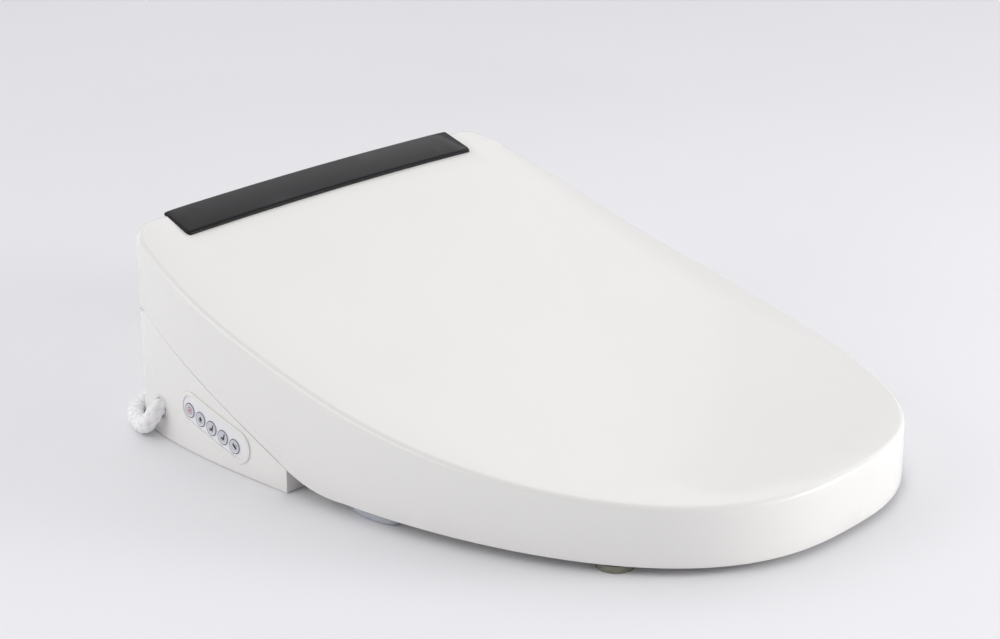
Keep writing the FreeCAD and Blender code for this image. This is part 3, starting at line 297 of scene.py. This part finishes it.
for node in NODES.values():
    for spot in node.material_slots:
        spot.material = FINISH[spot.material.name.split(".")[0]]
NODES["hose_grommet"].material_slots[0].material = PALE_RUBBER

# ---------------------------------------------------------------- rounded edges on the moulded parts
WELD_REACH = 0.000004
SHARP = math.radians(35)
EDGES = {
    "lid_shell": 0.55, "base_upper_case": 0.6, "base_lower_case": 0.4, "control_bezel": 0.85,
    "sensor_window": 0.35, "seat_upper_shell": 0.6, "seat_lower_shell": 0.4, "mounting_plate": 0.5,
    "seat_front_bumpers": 1.1, "seat_side_bumpers": 1.0, "lid_bumpers": 0.8, "rubber_feet": 0.4,
    "hose_grommet": 0.6, "hose_nut": 0.6, "power_cord_gland": 0.5, "lid_hinge_bracket_left": 0.5,
    "lid_hinge_bracket_right": 0.5, "dryer_flap": 0.3, "tank_lid": 0.8, "inlet_valve": 0.6,
    "diverter_valve": 0.8, "fan_housing": 0.5, "case_screws": 0.12, "water_tank": 0.5,
}


def soften(obj, width):
    """Weld a CAD mesh's split faces, then round its sharp edges."""
    weld = obj.modifiers.new("weld", "WELD")
    weld.merge_threshold = WELD_REACH
    bevel = obj.modifiers.new("bevel", "BEVEL")
    bevel.width = width * MM
    bevel.segments = 3
    bevel.limit_method = "ANGLE"
    bevel.angle_limit = SHARP
    bevel.harden_normals = True
    bevel.use_clamp_overlap = True


for name, width in EDGES.items():
    soften(NODES[name], width)

# ---------------------------------------------------------------- hose
HOSE_D = 13.5
ROUTE = [
    (-199, 26, 24), (-209.5, 24, 26.6), (-216.8, 26, 15.5), (-214, 37, 7.5), (-207.2, 53, 7),
    (-197.7, 67.4, 7), (-180.2, 77.8, 7), (-159, 86, 7), (-128, 90.5, 7), (-92, 96, 7), (-56, 99, 7),
    (-14, 102, 7), (25, 102, 7),
]
TAIL = [(69, 242, 20.9), (37, 242, 13), (11, 242, 13)]
COIL_X, COIL_Y, COIL_R = 95.0, 172.0, 70.0
LOW, HIGH = 7.0, 20.9  # the hose's middle where it lies on the floor, and on its own first turn
TURNS, PER_TURN = 1.5, 16
BRAID_DEPTH, BRAID_STRANDS = 1.15, 5
SLEEVE_SIDES, SLEEVE_STEP = 50, 0.9


def coil_points():
    """A turn and a half from the rear of the seat: flat at first, then climbing onto itself."""
    reach = COIL_R / math.cos(math.pi / PER_TURN)
    for i in range(int(TURNS * PER_TURN)):
        turn = (i + 0.5) / PER_TURN
        angle = math.radians(-90) + 2 * math.pi * turn
        climb = min(max((turn - 0.5) / 0.5, 0.0), 1.0)
        height = LOW + (HIGH - LOW) * climb
        yield COIL_X + reach * math.cos(angle), COIL_Y + reach * math.sin(angle), height


hose_points = ROUTE + list(coil_points()) + TAIL
line_data = bpy.data.curves.new("hose_line", "CURVE")
line_data.dimensions = "3D"
line_data.resolution_u = 24
line = line_data.splines.new("NURBS")
line.points.add(len(hose_points) - 1)
for point, place in zip(line.points, hose_points):
    point.co = (place[0] * MM, place[1] * MM, place[2] * MM, 1.0)
line.order_u = 3
line.use_endpoint_u = True
line_obj = bpy.data.objects.new("hose_line", line_data)
scene.collection.objects.link(line_obj)
bpy.context.view_layer.update()
read = bpy.data.meshes.new_from_object(line_obj)
hose_path = [v.co.copy() for v in read.vertices]
bpy.data.objects.remove(line_obj)
bpy.data.meshes.remove(read)


def lengths_along(points):
    """How far along the line each of its points is."""
    lengths = [0.0]
    for a, b in zip(points, points[1:]):
        lengths.append(lengths[-1] + (b - a).length)
    return lengths


def even(points, step):
    """The same line with its points a step apart."""
    lengths = lengths_along(points)
    count = max(2, round(lengths[-1] / step))
    out, k = [], 0
    for i in range(count + 1):
        at = lengths[-1] * i / count
        while k < len(points) - 2 and lengths[k + 1] < at:
            k += 1
        span = max(lengths[k + 1] - lengths[k], 1e-12)
        out.append(points[k].lerp(points[k + 1], min(max((at - lengths[k]) / span, 0.0), 1.0)))
    return out


def braid_height(s, angle, strands, slope):
    """Height of a two-way braid, 0 to 1, at length s and angle round the tube."""
    u = (strands * angle + slope * s) / (2 * math.pi)
    v = (strands * angle - slope * s) / (2 * math.pi)
    iu, iv = math.floor(u), math.floor(v)
    fu, fv = u - iu, v - iv
    over = 1.0 if (iu + iv) % 2 == 0 else -1.0
    first = math.sqrt(max(0.0, 1 - (2 * fu - 1) ** 2)) * (0.62 + 0.38 * over * math.sin(math.pi * fv))
    second = math.sqrt(max(0.0, 1 - (2 * fv - 1) ** 2)) * (0.62 - 0.38 * over * math.sin(math.pi * fu))
    return max(first, second)


def sleeve(name, points, radius, depth, strands, around, step):
    """A braided tube along points, its strands raised from the surface."""
    path = even(points, step)
    bm = bmesh.new()
    uv = bm.loops.layers.uv.new("UVMap")
    rings, raised = [], []
    side = None
    count = len(path)
    for i, here in enumerate(path):
        ahead = (path[min(i + 1, count - 1)] - path[max(i - 1, 0)]).normalized()
        if side is None:
            side = Vector((0, 0, 1)).cross(ahead).normalized()
        else:
            side = (side - ahead * side.dot(ahead)).normalized()
        up = ahead.cross(side)
        s = step * i
        ring = []
        for k in range(around):
            angle = 2 * math.pi * k / around
            lift = braid_height(s, angle, strands, strands / radius)
            lump = noise.noise(Vector((math.cos(angle) * 1.4, math.sin(angle) * 1.4, s * 260)))
            lift = min(max(lift * (1 + 0.35 * lump), 0.0), 1.0)
            raised.append(lift)
            r = radius - depth + depth * lift
            ring.append(bm.verts.new(here + (side * math.cos(angle) + up * math.sin(angle)) * r))
        rings.append(ring)
    for i, (a, b) in enumerate(zip(rings, rings[1:])):
        for k in range(around):
            n = (k + 1) % around
            face = bm.faces.new((a[k], a[n], b[n], b[k]))
            face.smooth = True
            corners = ((k, i), (k + 1, i), (k + 1, i + 1), (k, i + 1))
            for loop, (c, r) in zip(face.loops, corners):
                loop[uv].uv = (c / around, r * step / (2 * math.pi * radius))
    bm.faces.new(reversed(rings[0]))
    bm.faces.new(rings[-1])
    bmesh.ops.recalc_face_normals(bm, faces=bm.faces)
    mesh = bpy.data.meshes.new(name)
    bm.to_mesh(mesh)
    bm.free()
    mesh.attributes.new("raised", "FLOAT", "POINT").data.foreach_set("value", raised)
    obj = bpy.data.objects.new(name, mesh)
    scene.collection.objects.link(obj)
    return obj


hose = sleeve("hose_sleeve", hose_path, HOSE_D / 2 * MM, BRAID_DEPTH * MM, BRAID_STRANDS, SLEEVE_SIDES,
              SLEEVE_STEP * MM)
hose.data.materials.append(FINISH["hose_white"])
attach(hose, "base")
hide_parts("inlet_hose", "inlet_hose_coil")

# ---------------------------------------------------------------- control panel
PANEL_Y, PANEL_Z = -43.0, 28.1
PANEL_TILT = math.radians(14.2)
SIDE_X, SIDE_Y = 215, -156  # the base's side at its widest
SIDE_BOW, SIDE_PULL = 1.937, -2.759  # how it curves from there, per 100 mm squared and cubed
BUTTON_R, BUTTON_PITCH = 5.93, 13.7
BUTTON_NAMES = ("stop", "rear_wash", "front_wash", "dry", "power_save")
INK_LIFT, INK_THICK = 0.47, 0.07
TICK_LIFT, TICK_THICK = 0.19, 0.05
DOT_CORE = 0.0001


def wall_point(y, z, lift):
    """A point on the base's left wall, in millimetres in and metres out, lifted square to the wall."""
    s = (y - SIDE_Y) / 100
    x = SIDE_X + SIDE_BOW * s**2 + SIDE_PULL * s**3
    slope = (2 * SIDE_BOW * s + 3 * SIDE_PULL * s**2) / 100
    lean = math.hypot(1, slope)
    return Vector((-(x + lift / lean), y - lift * slope / lean, z)) * MM


def panel_point(centre, u, v, lift):
    """u runs to the rear along the row of buttons and v up across it."""
    y = centre[0] + u * math.cos(PANEL_TILT) - v * math.sin(PANEL_TILT)
    z = centre[1] + u * math.sin(PANEL_TILT) + v * math.cos(PANEL_TILT)
    return wall_point(y, z, lift)


def button_centre(i):
    along = (2 - i) * BUTTON_PITCH
    return PANEL_Y + along * math.cos(PANEL_TILT), PANEL_Z + along * math.sin(PANEL_TILT)


def new_piece(name, bm, body, finishes, replaces=()):
    bmesh.ops.recalc_face_normals(bm, faces=bm.faces)
    mesh = bpy.data.meshes.new(name)
    bm.to_mesh(mesh)
    bm.free()
    obj = bpy.data.objects.new(name, mesh)
    for finish in finishes:
        mesh.materials.append(finish)
    scene.collection.objects.link(obj)
    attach(obj, body)
    if replaces:
        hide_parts(*replaces)


def cap_point(centre, u, v, lift):
    """The same place, lifted along the button's travel, which is straight out of the side."""
    return panel_point(centre, u, v, 0.0) - Vector((lift, 0.0, 0.0)) * MM


def turned(bm, centre, profile, colours, around=56):
    """A round form on the panel, from (radius, lift) pairs; colours gives each band's material."""
    rings = []
    for radius, lift in profile:
        if radius < 1e-6:
            rings.append([bm.verts.new(cap_point(centre, 0, 0, lift))])
            continue
        turn = [2 * math.pi * k / around for k in range(around)]
        rings.append([bm.verts.new(cap_point(centre, radius * math.cos(a), radius * math.sin(a), lift))
                      for a in turn])
    for band, (a, b) in enumerate(zip(rings, rings[1:])):
        for k in range(around):
            n = (k + 1) % around
            if len(b) == 1:
                face = bm.faces.new((a[k], a[n], b[0]))
            elif len(a) == 1:
                face = bm.faces.new((a[0], b[n], b[k]))
            else:
                face = bm.faces.new((a[k], a[n], b[n], b[k]))
            face.smooth = True
            face.material_index = colours[band]


CAP_PROFILE = [
    (0.0, -2.2), (BUTTON_R, -2.2), (BUTTON_R, 0.45), (5.88, 0.7), (5.74, 0.84), (5.5, 0.9), (5.2, 0.9),
    (5.02, 0.84), (4.9, 0.7), (4.78, 0.62), (4.4, 0.58), (3.4, 0.53), (2.2, 0.5), (1.1, 0.48), (0.0, 0.48),
]
CAP_BANDS = [0, 0, 0, 1, 1, 1, 0, 2, 2, 2, 0, 0, 0, 0]
for i, name in enumerate(BUTTON_NAMES):
    bm = bmesh.new()
    turned(bm, button_centre(i), CAP_PROFILE, CAP_BANDS)
    finishes = (FINISH["button_grey"], INK_DARK, CAP_LIGHT)
    new_piece("cap_" + name, bm, f"button_{name}_body", finishes, (f"button_{name}",))


def printed(bm, centre, outline, lift=INK_LIFT, thick=INK_THICK):
    """A flat printed shape with a little thickness, from its outline in (u, v)."""
    low = [bm.verts.new(panel_point(centre, u, v, lift)) for u, v in outline]
    high = [bm.verts.new(panel_point(centre, u, v, lift + thick)) for u, v in outline]
    bm.faces.new(high)
    for k in range(len(outline)):
        n = (k + 1) % len(outline)
        bm.faces.new((low[k], low[n], high[n], high[k]))


def ring_print(bm, centre, outer, inner, at=(0, 0), steps=40):
    """A printed ring; with next to no hole it is a dot."""
    top = INK_LIFT + INK_THICK
    section = ((outer, INK_LIFT), (outer, top), (inner, top), (inner, INK_LIFT))
    cols = []
    for k in range(steps):
        c, s = math.cos(2 * math.pi * k / steps), math.sin(2 * math.pi * k / steps)
        cols.append([bm.verts.new(panel_point(centre, at[0] + r * c, at[1] + r * s, h)) for r, h in section])
    for a, b in zip(cols, cols[1:] + cols[:1]):
        for k in range(3):
            bm.faces.new((a[k], b[k], b[k + 1], a[k + 1]))


def bar(u0, v0, u1, v1, width):
    """A straight stroke's outline."""
    run = math.hypot(u1 - u0, v1 - v0)
    nu, nv = -(v1 - v0) / run * width / 2, (u1 - u0) / run * width / 2
    return [(u0 + nu, v0 + nv), (u0 - nu, v0 - nv), (u1 - nu, v1 - nv), (u1 + nu, v1 + nv)]


def glyph(name, bm, c):
    """Generic marks: a stop ring, a jet, a seated figure over water or air, and a leaf-like stroke."""
    if name == "stop":
        ring_print(bm, c, 2.7, 2.2)
        printed(bm, c, [(-0.95, -0.95), (0.95, -0.95), (0.95, 0.95), (-0.95, 0.95)])
        printed(bm, c, bar(-2.2, -2.2, -3.1, -3.1, 0.5))
    elif name == "rear_wash":
        printed(bm, c, [(0, -2.1), (2.0, 0), (0, 2.1), (-2.0, 0)])
        printed(bm, c, bar(-2.4, -2.1, 2.4, -2.1, 0.45))
    elif name in ("front_wash", "dry"):
        printed(bm, c, [(-1.7, 2.0), (-0.4, 1.8), (0.0, -0.3), (2.0, -0.5), (2.0, -1.9), (-1.7, -2.0)])
        ring_print(bm, c, 0.75, DOT_CORE, at=(-1.1, 2.6))
        for k in range(3):
            u = 2.0 - 0.8 * k
            top = -2.2 if name == "front_wash" else -2.4
            printed(bm, c, bar(u, top, u + 0.3, top - 0.8, 0.36))
    else:
        printed(bm, c, [(-3.0, -0.9), (-1.4, -1.9), (1.1, -0.6), (3.0, 0.9), (1.6, 1.8), (-0.8, 0.7)])
        printed(bm, c, bar(-2.9, 1.3, -0.9, 2.2, 0.42))


for i, name in enumerate(BUTTON_NAMES):
    bm = bmesh.new()
    glyph(name, bm, button_centre(i))
    new_piece("mark_" + name, bm, f"button_{name}_body", (INK_RED if name == "stop" else INK_BLACK,))

bm = bmesh.new()
for i in range(len(BUTTON_NAMES)):
    printed(bm, button_centre(i), bar(-2.4, -8.0, 2.4, -8.0, 0.5), TICK_LIFT, TICK_THICK)
new_piece("panel_ticks", bm, "base", (INK_PALE,))


# ---------------------------------------------------------------- bumpers under the seat
PAD_X, PAD_Y = 198.6, -202.0
PAD_HALF_X, PAD_HALF_Y = 10.2, 23.5
PAD_FULLNESS = 0.85  # 1 would be an ellipse, and less is squarer
PAD_LEVELS = [
    (4.6, 0.0), (3.4, 0.1), (2.2, 0.5), (1.2, 1.2), (0.5, 2.2), (0.1, 3.3), (0.0, 4.6), (0.1, 7.4),
    (0.9, 7.7), (1.1, 8.1), (1.1, 10.0),
]  # how far each level is drawn in, and its height


def pad_ring(bm, x, y, inset, z, around=64):
    """One level of an oval pad."""
    ring = []
    for k in range(around):
        a = 2 * math.pi * k / around
        c, s = math.cos(a), math.sin(a)
        out_x = (PAD_HALF_X - inset) * math.copysign(abs(c) ** PAD_FULLNESS, c)
        out_y = (PAD_HALF_Y - inset) * math.copysign(abs(s) ** PAD_FULLNESS, s)
        ring.append(bm.verts.new(Vector((x + out_x, y + out_y, z)) * MM))
    return ring


def skin(bm, rings):
    """Smooth faces from each ring to the next."""
    for a, b in zip(rings, rings[1:]):
        for k in range(len(a)):
            n = (k + 1) % len(a)
            bm.faces.new((a[k], a[n], b[n], b[k])).smooth = True


bm = bmesh.new()
for side in (-1, 1):
    rings = [pad_ring(bm, side * PAD_X, PAD_Y, inset, z) for inset, z in PAD_LEVELS]
    skin(bm, rings)
    bm.faces.new(rings[0])
    bm.faces.new(rings[-1])
new_piece("side_bumpers", bm, "seat", (FINISH["blue_bumper"],), ("seat_side_bumpers",))


# ---------------------------------------------------------------- room
AHEAD, ACROSS = Vector((0.742, 0.670, 0.0)), Vector((0.670, -0.742, 0.0))  # the camera's heading
FLOOR_NEAR, FLOOR_FAR, FLOOR_HALF = -3.0, 5.5, 6.0
SWEEP_R, SWEEP_STEPS = 1.5, 12
WALL_HEIGHT = 4.0


def paper(name):
    """The floor: a pale seamless sheet with very faint folds."""
    t = Tree(name)
    folds = t.noise(1.4, 3.0, 0.5)
    fibre = t.noise(600.0, 2.0)
    t.set(Base_Color=t.mix(t.remap(folds, 0.0, 1.0), (0.875, 0.868, 0.888), (0.845, 0.84, 0.862)))
    t.set(Roughness=t.remap(fibre, 0.75, 0.9), Normal=t.bump(folds, 0.25, 0.02), Specular_IOR_Level=0.2)
    return t.mat


bm = bmesh.new()
rows = [(FLOOR_NEAR, 0.0), (FLOOR_FAR, 0.0)]
for k in range(1, SWEEP_STEPS + 1):
    a = math.pi / 2 * k / SWEEP_STEPS
    rows.append((FLOOR_FAR + SWEEP_R * math.sin(a), SWEEP_R - SWEEP_R * math.cos(a)))
rows.append((FLOOR_FAR + SWEEP_R, WALL_HEIGHT))
grid = []
for along, height in rows:
    spot = AHEAD * along + Vector((0, 0, height))
    grid.append([bm.verts.new(spot + ACROSS * w) for w in (-FLOOR_HALF, FLOOR_HALF)])
for a, b in zip(grid, grid[1:]):
    bm.faces.new((a[0], a[1], b[1], b[0])).smooth = True
mesh = bpy.data.meshes.new("floor")
bm.to_mesh(mesh)
bm.free()
floor = bpy.data.objects.new("floor", mesh)
mesh.materials.append(paper("floor_sheet"))
scene.collection.objects.link(floor)

ROOM_BASE = 0.53
ROOM_SIDES = ((tuple(AHEAD), 0.65), ((-0.35, 0.93, 0.0), 0.5))  # a direction and how much it adds


def room_light(name):
    """A white room that is brighter behind the object than in front of it."""
    world = bpy.data.worlds.new(name)
    world.use_nodes = True
    nodes, links = world.node_tree.nodes, world.node_tree.links
    shade = nodes["Background"]
    shade.inputs["Color"].default_value = (0.985, 0.982, 1.0, 1.0)
    coords = nodes.new("ShaderNodeTexCoord")
    total = None
    for direction, strength in ROOM_SIDES:
        dot = nodes.new("ShaderNodeVectorMath")
        dot.operation = "DOT_PRODUCT"
        dot.inputs[1].default_value = direction
        links.new(coords.outputs["Generated"], dot.inputs[0])
        reach = nodes.new("ShaderNodeMapRange")
        base = ROOM_BASE if total is None else 0.0
        reach.inputs["To Min"].default_value = base
        reach.inputs["To Max"].default_value = strength + base
        links.new(dot.outputs["Value"], reach.inputs["Value"])
        if total is None:
            total = reach.outputs["Result"]
            continue
        add = nodes.new("ShaderNodeMath")
        links.new(total, add.inputs[0])
        links.new(reach.outputs["Result"], add.inputs[1])
        total = add.outputs[0]
    links.new(total, shade.inputs["Strength"])
    return world


scene.world = room_light("room")
scene.view_settings.view_transform = "Standard"
scene.view_settings.look = "None"


def softbox(name, place, target, width, height, power):
    """A rectangular lamp at place that faces target; power is in watts."""
    data = bpy.data.lights.new(name, "AREA")
    data.shape = "RECTANGLE"
    data.size, data.size_y = width, height
    data.energy = power
    obj = bpy.data.objects.new(name, data)
    obj.location = place
    obj.rotation_euler = (Vector(target) - Vector(place)).to_track_quat("-Z", "Y").to_euler()
    scene.collection.objects.link(obj)
    return obj


softbox("key_right", (1.3, -1.9, 0.6), (0.0, -0.25, 0.05), 0.8, 0.6, 18.8)
softbox("front", (0.5, -2.3, 0.8), (0.0, -0.25, 0.05), 1.2, 0.9, 6.4)
softbox("right_low", (2.3, -0.7, 1.0), (0.0, -0.25, 0.05), 1.0, 0.8, 2.8)
softbox("fill_left", (-1.7, 0.7, 1.1), (0.0, -0.1, 0.05), 1.4, 1.2, 7.6)
rear = softbox("rear", (0.9, 2.0, 2.0), (0.2, 0.3, 0.0), 2.6, 1.4, 4.0)
rear.visible_glossy = False
